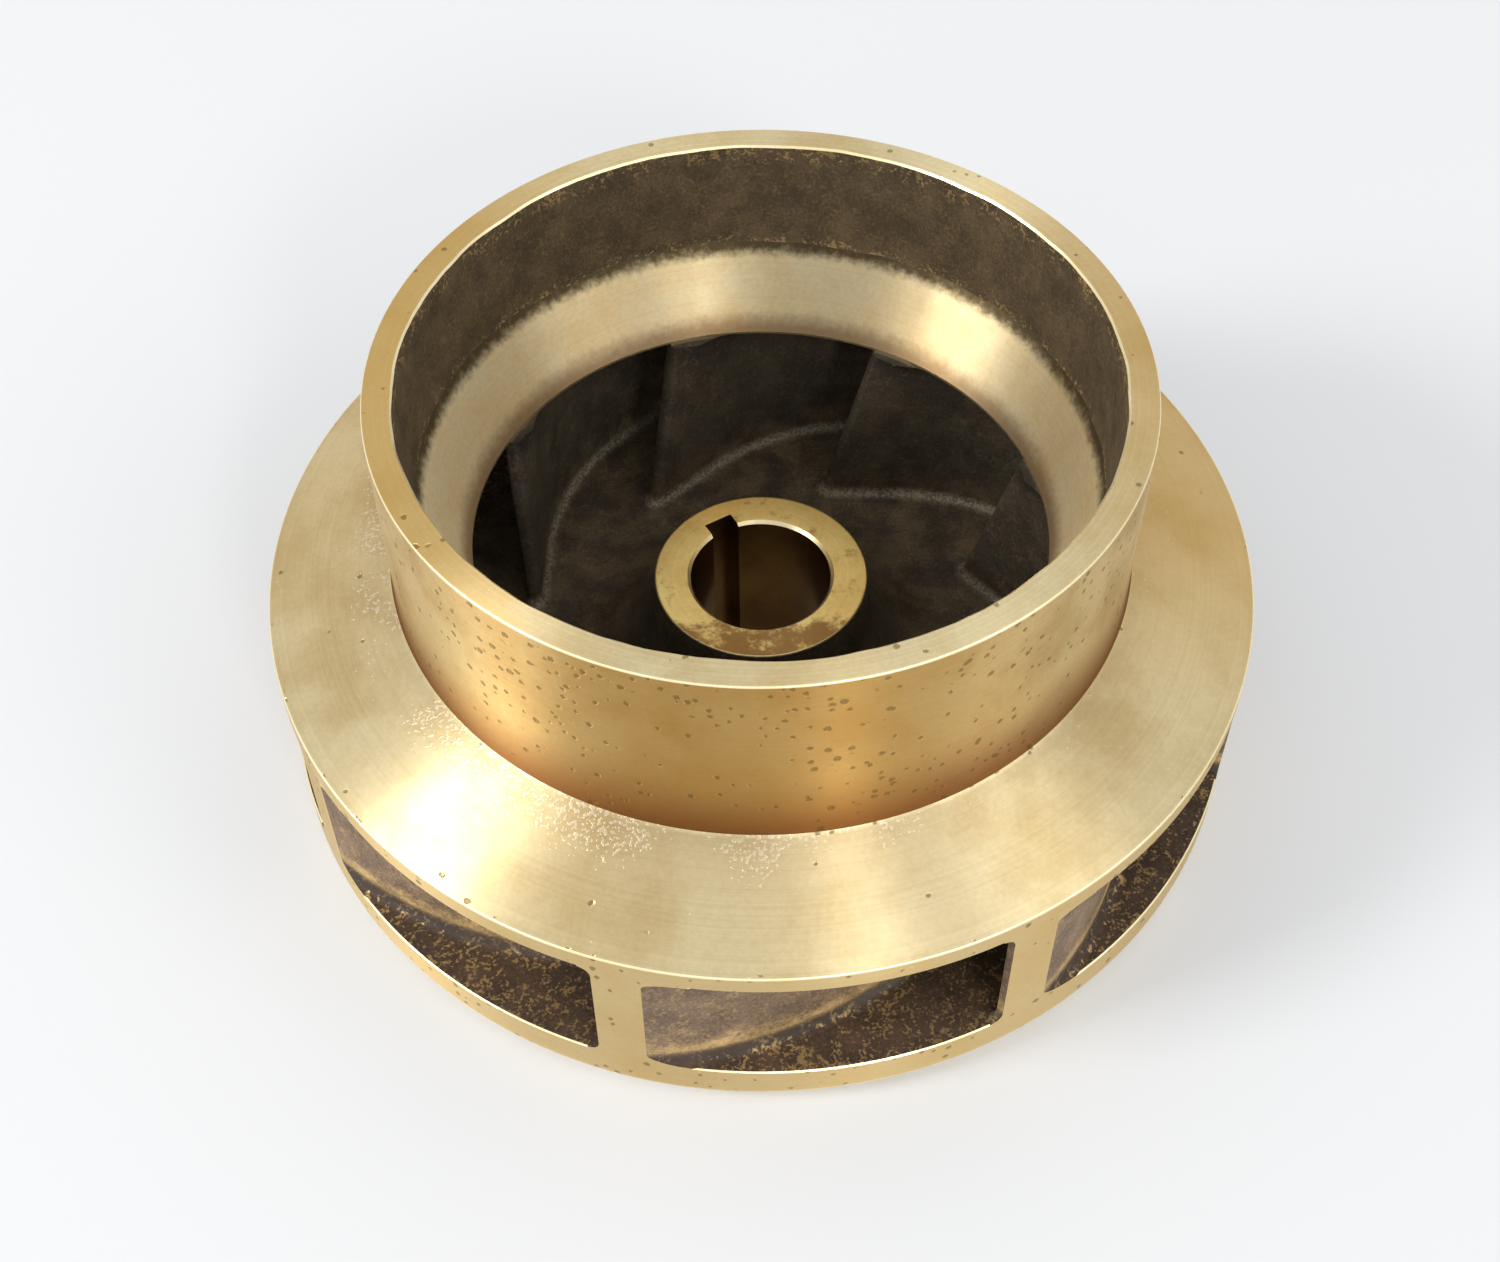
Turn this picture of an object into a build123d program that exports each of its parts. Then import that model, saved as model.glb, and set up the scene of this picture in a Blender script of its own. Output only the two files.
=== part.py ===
from build123d import *

import math
import os

os.makedirs("parts", exist_ok=True)

# Closed pump impeller, cast in one piece and then turned, bored and keyed.
# Millimetres and degrees.  +Z is the shaft's axis, pointing at the suction eye.
# The flat back face lies on Z = 0 and the axis passes through X = Y = 0.

# --- outside of the two shrouds --------------------------------------------------
OUTER_DIAMETER = 152.4        # turned outside diameter, 6 in
RIM_HEIGHT = 35.7             # back face up to the front shroud's outer edge
BACK_CORNER_RADIUS = 5.0      # round between the outside diameter and the back face
FRONT_LAND = 3.4              # height of the turned land above the outlet openings
FRONT_FACE_RISE = 5.6         # climb of the coned front face, in to the collar

# --- suction collar --------------------------------------------------------------
COLLAR_DIAMETER = 113.0       # wear surface that runs in the pump casing
COLLAR_HEIGHT = 38.0          # front shroud's outer edge up to the collar's rim
COLLAR_WALL = 4.4             # wall at the rim
COLLAR_DRAFT = 0.8            # loss of radius down the cored wall
COLLAR_UNDERCUT = 1.0         # corner left by the tool between the collar and the cone

# --- eye -------------------------------------------------------------------------
EYE_WALL_DEPTH = 18.6         # rim down to the top of the turned funnel
THROAT_DEPTH = 32.1           # rim down to the throat
THROAT_DIAMETER = 88.6        # smallest width of the funnel
THROAT_LIP = 0.4              # narrow turned land at the throat
TIP_TRIM = 3.0                # how far below the throat its land trims the vanes' tips

# --- vanes -----------------------------------------------------------------------
OUTLET_WIDTH = 22.7           # height of the openings at the outside diameter
VANE_COUNT = 8
VANE_THICKNESS = 3.1
VANE_INLET_RADIUS = 40.4      # foot of the leading edge, on the back shroud
VANE_MIDDLE_RADIUS = 57.0     # where the vane's two arcs meet
VANE_STRAIGHT = 9.5           # straight run behind the leading edge
VANE_INLET_ANGLE = 19.0       # from the tangent, at the foot
VANE_MIDDLE_ANGLE = 20.8      # from the tangent, where the arcs meet
VANE_OUTLET_ANGLE = 15.0      # from the tangent, at the outside diameter
VANE_END_ANGLE = 28.1         # middle of the first vane's outer end, from +X
VANE_EDGE_LEAN = 7.5          # the edge's top lies this much further along the vane
VANE_NOSE_RADIUS = 1.25       # rounding of the leading edge

# --- hub -------------------------------------------------------------------------
HUB_HEIGHT = 30.5             # back face up to the hub's turned face
HUB_FACE_DIAMETER = 33.6
HUB_DRAFT = 7.0               # slope of the hub's cast side
HUB_SWEEP_RADIUS = 17.0       # from the hub's side out to the back shroud
BORE_DIAMETER = 22.225        # 7/8 in shaft
BORE_CHAMFER = 0.5
KEYWAY_WIDTH = 4.76           # 3/16 in key
KEYWAY_DEPTH = 2.4            # past the bore
KEYWAY_ANGLE = 121.0          # from +X

# --- back ------------------------------------------------------------------------
RELIEF_DEPTH = 2.5            # cast relief between the two lands that the part rests on
REAR_HUB_LAND = 12.9          # width of the faced land round the bore
REAR_RIM_LAND = 15.2          # width of the faced land at the rim, its round corner included
RELIEF_DRAFT = 1.2            # how much each side wall of the relief leans in

# --- derived ---------------------------------------------------------------------
RADIUS = OUTER_DIAMETER / 2
TOP = RIM_HEIGHT + COLLAR_HEIGHT
COLLAR_RADIUS = COLLAR_DIAMETER / 2
COLLAR_BASE = RIM_HEIGHT + FRONT_FACE_RISE
RIM_INNER_RADIUS = COLLAR_RADIUS - COLLAR_WALL
WALL_FOOT_RADIUS = RIM_INNER_RADIUS - COLLAR_DRAFT
WALL_FOOT = TOP - EYE_WALL_DEPTH
THROAT_RADIUS = THROAT_DIAMETER / 2
THROAT = TOP - THROAT_DEPTH
OUTLET_TOP = RIM_HEIGHT - FRONT_LAND
FLOOR = OUTLET_TOP - OUTLET_WIDTH
HUB_RADIUS = HUB_FACE_DIAMETER / 2
HUB_FOOT_RADIUS = HUB_RADIUS + (HUB_HEIGHT - FLOOR) * math.tan(math.radians(HUB_DRAFT))
BORE_RADIUS = BORE_DIAMETER / 2
KEYWAY_REACH = BORE_RADIUS + KEYWAY_DEPTH
RELIEF_INNER_RADIUS = BORE_RADIUS + REAR_HUB_LAND
RELIEF_OUTER_RADIUS = RADIUS - REAR_RIM_LAND
PAST = 4.0                    # cutting shapes run this far past what they cut
CORE_RADIUS = RADIUS + PAST
CORE_LIP = 1.5                # the core's mouth is this much smaller than the throat


def ceiling(radius):
    """Height of the front shroud's inner cone at a radius."""
    slope = (THROAT - THROAT_LIP - OUTLET_TOP) / (RADIUS - THROAT_RADIUS)
    return OUTLET_TOP + slope * (RADIUS - radius)


def vane_arc(inner_radius, inner_angle, outer_radius, outer_angle):
    """Radius and turn of the arc that crosses two circles at the angles given."""
    inner_cosine = math.cos(math.radians(inner_angle))
    outer_cosine = math.cos(math.radians(outer_angle))
    spread = outer_radius * outer_cosine - inner_radius * inner_cosine
    arc = (outer_radius**2 - inner_radius**2) / (2 * spread)
    centre = math.sqrt(arc**2 + inner_radius**2 - 2 * arc * inner_radius * inner_cosine)
    turns = [
        math.acos((arc**2 + centre**2 - radius**2) / (2 * arc * centre))
        for radius in (inner_radius, outer_radius)
    ]
    return arc, math.degrees(turns[1] - turns[0])


def after_straight(radius, angle, run):
    """Radius and angle from the tangent that a straight run reaches, going outwards."""
    along = radius * math.sin(math.radians(angle)) + run
    beside = radius * math.cos(math.radians(angle))
    return math.hypot(along, beside), math.degrees(math.atan2(along, beside))


STRAIGHT_RADIUS, STRAIGHT_ANGLE = after_straight(
    VANE_INLET_RADIUS, VANE_INLET_ANGLE, VANE_STRAIGHT
)
INNER_ARC, INNER_TURN = vane_arc(
    STRAIGHT_RADIUS, STRAIGHT_ANGLE, VANE_MIDDLE_RADIUS, VANE_MIDDLE_ANGLE
)
OUTER_ARC, OUTER_TURN = vane_arc(
    VANE_MIDDLE_RADIUS, VANE_MIDDLE_ANGLE, RADIUS, VANE_OUTLET_ANGLE
)


def vane_line(side=0, past=0.0):
    """The vane's line from the rim inwards: two tangent arcs and a straight run.

    Side 0 is the middle line, 1 and -1 are the faces.  Both ends run on by the length past.
    """
    offset = side * VANE_THICKNESS / 2
    inward = Vector(1, 0).rotate(Axis.Z, VANE_END_ANGLE + 90 + VANE_OUTLET_ANGLE)
    rim = Vector(RADIUS, 0).rotate(Axis.Z, VANE_END_ANGLE)
    centre = rim + inward.rotate(Axis.Z, 90) * OUTER_ARC
    extra = math.degrees(past / OUTER_ARC)
    start = centre + (rim - centre).normalized().rotate(Axis.Z, -extra) * (OUTER_ARC + offset)
    heading = inward.rotate(Axis.Z, -extra)
    outer = JernArc(start, heading, OUTER_ARC + offset, OUTER_TURN + extra)
    inner = JernArc(outer @ 1, outer % 1, INNER_ARC + offset, INNER_TURN)
    straight = Line(inner @ 1, inner @ 1 + (inner % 1) * (VANE_STRAIGHT + past))
    return outer, straight


# One vane: its section in plan, raised past both shrouds, with a leaning, rounded edge.
with BuildLine():
    straight_run = vane_line()[1]
foot = straight_run @ 1 + Vector(0, 0, FLOOR)
tip = foot - (straight_run % 1) * VANE_EDGE_LEAN + Vector(0, 0, THROAT - FLOOR)
across = (straight_run % 1).rotate(Axis.Z, -90)

with BuildPart() as vane:
    with BuildSketch(Plane.XY.offset(FLOOR - PAST)):
        with BuildLine():
            pressure = vane_line(1, PAST * 2)
            suction = vane_line(-1, PAST * 2)
            Line(pressure[0] @ 0, suction[0] @ 0)
            Line(pressure[1] @ 1, suction[1] @ 1)
        make_face()
    extrude(amount=THROAT - FLOOR + PAST + 1)
    split(bisect_by=Plane(foot, x_dir=across, z_dir=across.cross(tip - foot)), keep=Keep.TOP)
    edge_face = vane.faces().sort_by_distance((foot + tip) / 2)[0]
    fillet(edge_face.edges().sort_by(SortBy.LENGTH)[-2:], VANE_NOSE_RADIUS)

# The core: the hub's sweep and the space between the shrouds, less the vanes.
with BuildPart() as core:
    with BuildSketch(Plane.XZ):
        with BuildLine():
            Polyline(
                (0, HUB_HEIGHT),
                (HUB_RADIUS, HUB_HEIGHT),
                (HUB_FOOT_RADIUS, FLOOR),
                (CORE_RADIUS, FLOOR),
                (CORE_RADIUS, ceiling(CORE_RADIUS)),
                (THROAT_RADIUS - CORE_LIP, ceiling(THROAT_RADIUS - CORE_LIP)),
                (THROAT_RADIUS - CORE_LIP, TOP),
                (0, TOP),
                close=True,
            )
        make_face()
        fillet(vertices().sort_by_distance((HUB_FOOT_RADIUS, FLOOR))[0], HUB_SWEEP_RADIUS)
    revolve(axis=Axis.Z)
    with PolarLocations(0, VANE_COUNT):
        add(vane.part, mode=Mode.SUBTRACT)

# The eye: the cored wall of the collar, and the turned funnel and throat below it.
with BuildPart() as eye:
    with BuildSketch(Plane.XZ):
        with BuildLine():
            Polyline(
                (0, THROAT - TIP_TRIM),
                (THROAT_RADIUS, THROAT - TIP_TRIM),
                (THROAT_RADIUS, THROAT),
                (WALL_FOOT_RADIUS, WALL_FOOT),
                (RIM_INNER_RADIUS, TOP),
                (RIM_INNER_RADIUS, TOP + PAST),
                (0, TOP + PAST),
                close=True,
            )
        make_face()
    revolve(axis=Axis.Z)

# The casting: turned outside, then cored, bored and keyed.
with BuildPart() as impeller:
    with BuildSketch(Plane.XZ):
        with BuildLine():
            Polyline(
                (0, 0),
                (RADIUS, 0),
                (RADIUS, RIM_HEIGHT),
                (COLLAR_RADIUS, COLLAR_BASE),
                (COLLAR_RADIUS, TOP),
                (0, TOP),
                close=True,
            )
        make_face()
        fillet(vertices().sort_by_distance((RADIUS, 0))[0], BACK_CORNER_RADIUS)
        chamfer(vertices().sort_by_distance((COLLAR_RADIUS, COLLAR_BASE))[0], COLLAR_UNDERCUT)
    revolve(axis=Axis.Z)
    add(core.part, mode=Mode.SUBTRACT)
    add(eye.part, mode=Mode.SUBTRACT)

    # Bore and keyway, right through the hub.
    with Locations((0, 0, 0)):
        Cylinder(
            BORE_RADIUS,
            HUB_HEIGHT,
            align=(Align.CENTER, Align.CENTER, Align.MIN),
            mode=Mode.SUBTRACT,
        )
    circles = impeller.edges().filter_by(GeomType.CIRCLE)
    mouths = circles.filter_by(lambda edge: abs(edge.radius - BORE_RADIUS) < 0.01)
    chamfer(mouths, BORE_CHAMFER)
    with BuildSketch(Plane.XY):
        with Locations(Rotation(0, 0, KEYWAY_ANGLE)):
            Rectangle(KEYWAY_REACH, KEYWAY_WIDTH, align=(Align.MIN, Align.CENTER))
    extrude(amount=HUB_HEIGHT, mode=Mode.SUBTRACT)

    # Shallow relief in the back, so that only the hub and the rim are faced.
    with BuildSketch(Plane.XZ):
        with BuildLine():
            Polyline(
                (RELIEF_INNER_RADIUS, 0),
                (RELIEF_INNER_RADIUS + RELIEF_DRAFT, RELIEF_DEPTH),
                (RELIEF_OUTER_RADIUS - RELIEF_DRAFT, RELIEF_DEPTH),
                (RELIEF_OUTER_RADIUS, 0),
                close=True,
            )
        make_face()
    revolve(axis=Axis.Z, mode=Mode.SUBTRACT)

impeller.part.label = "impeller"
print("impeller volume, mm3", round(impeller.part.volume))
export_step(impeller.part, "parts/impeller.step")
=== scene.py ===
"""Looks of a closed bronze pump impeller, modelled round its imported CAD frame.

The casting is modelled the way it is made.  A turned blank loses the shape of the sand core, in
which the eight vanes stand, then the turned eye and the keyway.  Every cut brings its own finish.
Sizes are in millimetres, and one constant turns them to metres.
"""

import logging
import math
from contextlib import contextmanager
from dataclasses import dataclass, field
from enum import IntEnum
from functools import partial
from typing import Callable, Iterator, NamedTuple, Sequence

import bpy
from mathutils import Matrix, Vector, noise

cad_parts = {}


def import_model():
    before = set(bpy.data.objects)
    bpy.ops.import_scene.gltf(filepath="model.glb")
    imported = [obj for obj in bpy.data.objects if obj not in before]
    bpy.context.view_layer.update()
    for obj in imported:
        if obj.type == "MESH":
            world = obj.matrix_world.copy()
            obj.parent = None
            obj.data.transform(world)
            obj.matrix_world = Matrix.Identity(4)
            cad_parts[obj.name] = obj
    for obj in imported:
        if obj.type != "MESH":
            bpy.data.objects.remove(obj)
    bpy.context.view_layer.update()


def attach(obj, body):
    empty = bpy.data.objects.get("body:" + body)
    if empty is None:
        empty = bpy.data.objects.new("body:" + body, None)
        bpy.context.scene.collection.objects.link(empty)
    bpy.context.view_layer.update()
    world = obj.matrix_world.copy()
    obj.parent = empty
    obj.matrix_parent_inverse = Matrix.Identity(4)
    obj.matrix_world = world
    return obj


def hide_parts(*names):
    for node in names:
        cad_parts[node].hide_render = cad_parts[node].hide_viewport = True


log = logging.getLogger("impeller")

MM = 0.001                    # metres in a millimetre
NEAR = 1e-4 * MM              # two vertices this close are one, in metres
TURN_STEPS = 240              # facets round the axis, a multiple of the eight passages
QUARTER_TURN = 0.25           # of a whole turn

# Sizes that several cuts and finishes share, in millimetres.
OUTSIDE_RADIUS = 76.2
BORE_RADIUS = 11.1125
HUB_HEIGHT = 30.5
FLOOR = 9.6                   # the back shroud's inner face
OUTLET_TOP = 32.3             # the front shroud's inner face, at the outside radius
COLLAR_RADIUS = 56.5
COLLAR_BASE = 41.3            # where the coned face meets the collar
THROAT_RADIUS = 44.3
THROAT = 41.6
WALL_FOOT = 55.1              # where the funnel meets the collar's cored wall
TOP = 73.7


class Skin(IntEnum):
    """Finishes of the casting, in the order of its material slots."""

    FACED = 0
    CAST = 1
    FUNNEL = 2
    BORE = 3
    COLLAR = 4
    HUB_FACE = 5
    EDGE = 6


# --- tools of the bench ----------------------------------------------------------


def deselect_all() -> None:
    """Deselects every object."""
    bpy.ops.object.select_all(action="DESELECT")


def take(piece: bpy.types.Object) -> None:
    """Makes a piece the only one selected, and the active one.

    Args:
        piece: the piece.
    """
    deselect_all()
    piece.select_set(True)
    bpy.context.view_layer.objects.active = piece


@contextmanager
def editing(
    piece: bpy.types.Object, select: Callable[[Vector], bool] | None = None
) -> Iterator[None]:
    """Edit mode on one piece.

    Args:
        piece: the mesh that is edited.
        select: picks the vertices to start with by their place, or all of them if it is None.

    Yields:
        Nothing; the piece stays in edit mode meanwhile.
    """
    take(piece)
    for vertex in piece.data.vertices:
        vertex.select = select is None or select(vertex.co)
    for edge in piece.data.edges:
        edge.select = all(piece.data.vertices[i].select for i in edge.vertices)
    for face in piece.data.polygons:
        face.select = all(piece.data.vertices[i].select for i in face.vertices)
    bpy.ops.object.mode_set(mode="EDIT")
    bpy.ops.mesh.select_mode(type="VERT")
    yield
    bpy.ops.object.mode_set(mode="OBJECT")


def at(place: Vector, reach: float = 0.02 * MM) -> Callable[[Vector], bool]:
    """A test that is true for vertices at one place.

    Args:
        place: the place, in metres.
        reach: how far off a vertex may be.

    Returns:
        The test.
    """
    return lambda co: (co - place).length < reach


def start_vertex(name: str, place: Vector) -> bpy.types.Object:
    """Starts a piece as one vertex.

    Args:
        name: name of the piece.
        place: where the vertex lies, in metres.

    Returns:
        The piece.
    """
    deselect_all()
    bpy.ops.mesh.primitive_plane_add(size=MM)
    piece = bpy.context.object
    piece.name = name
    piece.data.name = name
    with editing(piece):
        bpy.ops.mesh.merge(type="CENTER")
        bpy.ops.transform.translate(value=place)
    return piece


@dataclass(frozen=True)
class Corner:
    """A corner of a turned profile.

    Attributes:
        radius: distance from the axis, mm.
        height: height above the back face, mm.
        rounding: radius of the rounded corner, mm.
        segments: edges that the rounding is made of.
    """

    radius: float
    height: float
    rounding: float = 0.0
    segments: int = 3

    @property
    def place(self) -> Vector:
        """The corner in metres, on the XZ plane."""
        return Vector((self.radius, 0.0, self.height)) * MM


def turned(name: str, corners: Sequence[Corner]) -> bpy.types.Object:
    """Draws a closed profile, rounds its corners and spins it round the axis.

    Args:
        name: name of the piece.
        corners: the profile's corners in order.

    Returns:
        The closed ring.
    """
    places = [corner.place for corner in corners]
    piece = start_vertex(name, places[0])
    for before, after in zip(places, places[1:]):
        with editing(piece, at(before)):
            bpy.ops.mesh.extrude_vertices_move(TRANSFORM_OT_translate={"value": after - before})
    with editing(piece, lambda co: at(places[0])(co) or at(places[-1])(co)):
        bpy.ops.mesh.edge_face_add()
    for index, corner in enumerate(corners):
        if corner.rounding:
            back = (places[index - 1] - places[index]).normalized()
            ahead = (places[(index + 1) % len(places)] - places[index]).normalized()
            reach = corner.rounding * MM / math.tan(back.angle(ahead) / 2)
            with editing(piece, at(places[index])):
                bpy.ops.mesh.bevel(offset=reach, segments=corner.segments, affect="VERTICES")
    with editing(piece):
        bpy.ops.mesh.spin(steps=TURN_STEPS, angle=math.tau, center=(0, 0, 0), axis=(0, 0, 1))
        clean_shell()
    return piece


def clean_shell() -> None:
    """In edit mode, merges what lies together and points all faces outwards."""
    bpy.ops.mesh.select_all(action="SELECT")
    bpy.ops.mesh.remove_doubles(threshold=NEAR)
    bpy.ops.mesh.normals_make_consistent(inside=False)


def cut(piece: bpy.types.Object, tool: bpy.types.Object) -> None:
    """Cuts a tool's shape out of a piece and removes the tool.

    Args:
        piece: the piece that is cut.
        tool: the closed shape that is taken away.
    """
    take(piece)
    bpy.ops.object.modifier_add(type="BOOLEAN")
    boolean = piece.modifiers[-1]
    boolean.operation = "DIFFERENCE"
    boolean.solver = "MANIFOLD"
    boolean.object = tool
    bpy.ops.object.modifier_apply(modifier=boolean.name)
    bpy.data.objects.remove(tool)


# --- the casting -----------------------------------------------------------------


@dataclass
class Outside:
    """The blank: everything that the lathe leaves on the outside, and the bore.

    Attributes:
        radius: outside radius of both shrouds, 0.03 mm under size so as to stay inside the
            frame's flat facets.
        rim_height: height of the front shroud's outer edge.
        back_corner: radius of the corner at the back.
        collar_radius: radius of the collar's wear surface.
        collar_base: height at which the coned face meets the collar.
        top: height of the collar's rim.
        bore_radius: radius of the bore.
        relief_inner, relief_outer, relief_depth, relief_draft: the shallow ring in the back.
        relief_fillet, collar_fillet: radii of the inner corners there and at the collar's foot.
        bore_chamfer: size of the chamfer at the bore's back end.
        broken_edge: size of the edges that the tool broke.
    """

    radius: float = OUTSIDE_RADIUS - 0.03
    rim_height: float = 35.7
    back_corner: float = 5.0
    collar_radius: float = COLLAR_RADIUS
    collar_base: float = COLLAR_BASE
    top: float = TOP
    bore_radius: float = BORE_RADIUS
    relief_inner: float = 24.01
    relief_outer: float = 61.0
    relief_depth: float = 2.5
    relief_draft: float = 1.2
    relief_fillet: float = 1.0
    collar_fillet: float = 1.2
    bore_chamfer: float = 0.5
    broken_edge: float = 0.35

    def make(self) -> bpy.types.Object:
        """Turns the blank, still full where the core and the eye will be.

        Returns:
            The blank.
        """
        edge, draft = self.broken_edge, self.relief_draft
        return turned(
            "impeller_casting",
            [
                Corner(self.bore_radius, self.top),
                Corner(self.bore_radius, self.bore_chamfer),
                Corner(self.bore_radius + self.bore_chamfer, 0),
                Corner(self.relief_inner, 0, edge),
                Corner(self.relief_inner + draft, self.relief_depth, self.relief_fillet, 4),
                Corner(self.relief_outer - draft, self.relief_depth, self.relief_fillet, 4),
                Corner(self.relief_outer, 0, edge),
                Corner(self.radius, 0, self.back_corner, 8),
                Corner(self.radius, self.rim_height, edge),
                Corner(self.collar_radius, self.collar_base, self.collar_fillet, 5),
                Corner(self.collar_radius, self.top, edge),
            ],
        )


@dataclass
class Vanes:
    """The eight back-swept vanes, with the fillets that the core leaves at their roots.

    Attributes:
        count: vanes round the axis.
        thickness: thickness of a vane.
        root_fillet: radius of the fillet at both shrouds.
        nose: radius at the leading edge's corners.
        inlet_radius, middle_radius, outlet_radius: where the line's three runs start and end.
        straight: straight run behind the leading edge.
        inlet_angle, middle_angle, outlet_angle: from the tangent, at those radii.
        end_angle: middle of the first vane's outer end, from +X.
        lean: how much further back along the vane the leading edge's top lies.
        twist: how much further out it lies.
        lean_height: height over the floor that the lean is given for.
        taper: share of its thickness that the vane loses towards the leading edge.
        past: how far the vane runs past the outside radius.
        sunk: how far it runs into the shrouds.
        toe: how far above the floor the fillet at the root ends.
        fillet_steps: edges that a fillet is made of.
        outer_steps, inner_steps: edges along the outer and the inner arc.
        nose_cell: length of the straight run's last piece, which takes the rounded edge.
        floor, crown: heights of the shrouds' inner faces at the outside radius.
    """

    count: int = 8
    thickness: float = 3.1
    root_fillet: float = 1.8
    nose: float = 1.25
    inlet_radius: float = 39.4
    middle_radius: float = 57.0
    outlet_radius: float = OUTSIDE_RADIUS
    straight: float = 13.0
    inlet_angle: float = 14.2
    middle_angle: float = 20.8
    outlet_angle: float = 15.0
    end_angle: float = 28.1
    lean: float = 9.2
    twist: float = 2.4
    lean_height: float = 31.0
    taper: float = 0.35
    past: float = 3.0
    sunk: float = 1.5
    toe: float = 0.03
    fillet_steps: int = 6
    outer_steps: int = 26
    inner_steps: int = 14
    nose_cell: float = 3.6
    floor: float = FLOOR
    crown: float = OUTLET_TOP

    @staticmethod
    def _arc(
        inner: float, inner_angle: float, outer: float, outer_angle: float
    ) -> tuple[float, float]:
        """Radius and turn of the arc that crosses two circles at given angles.

        Args:
            inner: radius of the inner circle.
            inner_angle: angle from its tangent, degrees.
            outer: radius of the outer circle.
            outer_angle: angle from its tangent, degrees.

        Returns:
            The arc's radius in mm and its turn in radians.
        """
        inner_cosine = math.cos(math.radians(inner_angle))
        spread = outer * math.cos(math.radians(outer_angle)) - inner * inner_cosine
        arc = (outer**2 - inner**2) / (2 * spread)
        centre = math.sqrt(arc**2 + inner**2 - 2 * arc * inner * inner_cosine)
        turns = [
            math.acos((arc**2 + centre**2 - radius**2) / (2 * arc * centre))
            for radius in (inner, outer)
        ]
        return arc, turns[1] - turns[0]

    def _runs(self) -> tuple[tuple[float, float], tuple[float, float]]:
        """Works out the two arcs of the vane's line.

        Returns:
            Radius and turn of the outer arc, then of the inner arc.
        """
        along = self.inlet_radius * math.sin(math.radians(self.inlet_angle)) + self.straight
        beside = self.inlet_radius * math.cos(math.radians(self.inlet_angle))
        joint = math.hypot(along, beside), math.degrees(math.atan2(along, beside))
        middle = self.middle_radius, self.middle_angle
        outer = self._arc(*middle, self.outlet_radius, self.outlet_angle)
        inner = self._arc(*joint, *middle)
        return outer, inner

    def make(self, ceiling: Callable[[float], float]) -> bpy.types.Object:
        """Models one vane and copies it round the axis.

        Args:
            ceiling: height of the front shroud's inner cone at a radius.

        Returns:
            The eight vanes, each running into both shrouds.
        """
        (outer_arc, outer_turn), (inner_arc, inner_turn) = self._runs()
        half = self.thickness / 2 + self.root_fillet
        inward = Vector((1, 0, 0))
        heading_angle = math.radians(self.end_angle + 90 + self.outlet_angle)
        inward.rotate(Matrix.Rotation(heading_angle, 3, "Z"))
        rim = Vector((self.outlet_radius, 0, 0))
        rim = Matrix.Rotation(math.radians(self.end_angle), 3, "Z") @ rim
        quarter = Matrix.Rotation(math.radians(90), 3, "Z")
        centre = rim + (quarter @ inward) * outer_arc
        extra = self.past / outer_arc
        out = Matrix.Rotation(-extra, 3, "Z") @ (rim - centre).normalized()
        bottom = Vector((0, 0, self.floor - self.sunk))

        piece = start_vertex("vanes", (centre + out * (outer_arc + half) + bottom) * MM)
        with editing(piece):
            width = out * -2 * half * MM
            bpy.ops.mesh.extrude_vertices_move(TRANSFORM_OT_translate={"value": width})
            bpy.ops.mesh.select_all(action="SELECT")
            bpy.ops.mesh.spin(
                steps=self.outer_steps,
                angle=-(outer_turn + extra),
                center=centre * MM,
                axis=(0, 0, 1),
            )
        heading = Matrix.Rotation(outer_turn, 3, "Z") @ inward
        joint = centre + Matrix.Rotation(outer_turn, 3, "Z") @ (rim - centre)
        inner_centre = joint + (quarter @ heading) * inner_arc
        with editing(piece, self._across(joint, heading)):
            bpy.ops.mesh.spin(
                steps=self.inner_steps, angle=-inner_turn, center=inner_centre * MM, axis=(0, 0, 1)
            )
        joint = inner_centre + Matrix.Rotation(inner_turn, 3, "Z") @ (joint - inner_centre)
        heading = Matrix.Rotation(inner_turn, 3, "Z") @ heading
        run_start = joint.copy()
        for run in (self.straight - self.nose_cell, self.nose_cell):
            with editing(piece, self._across(joint, heading)):
                step = heading * run * MM
                bpy.ops.mesh.extrude_region_move(TRANSFORM_OT_translate={"value": step})
            joint = joint + heading * run
        beside = (quarter @ heading) * half
        for side in (beside, -beside):
            with editing(piece, at((joint + side + bottom) * MM)):
                reach = (self.nose + self.root_fillet) * MM
                bpy.ops.mesh.bevel(offset=reach, segments=self.fillet_steps, affect="VERTICES")
        self._raise(piece)
        for vertex in piece.data.vertices:
            self._fit(vertex, ceiling, run_start, heading)
        with editing(piece):
            clean_shell()
            for _ in range(self.count - 1):
                bpy.ops.mesh.duplicate()
                bpy.ops.transform.rotate(
                    value=math.tau / self.count, orient_axis="Z", center_override=(0, 0, 0)
                )
        return piece

    def _across(self, joint: Vector, heading: Vector) -> Callable[[Vector], bool]:
        """A test for the vertices of the edge that crosses the vane's line at a place.

        Args:
            joint: the place, mm.
            heading: direction of the line there.

        Returns:
            The test.
        """
        reach = (self.thickness / 2 + self.root_fillet) * 1.05
        return lambda co: (
            abs((co.xy / MM - joint.xy).dot(heading.xy)) < 0.01
            and (co.xy / MM - joint.xy).length < reach
        )

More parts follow.
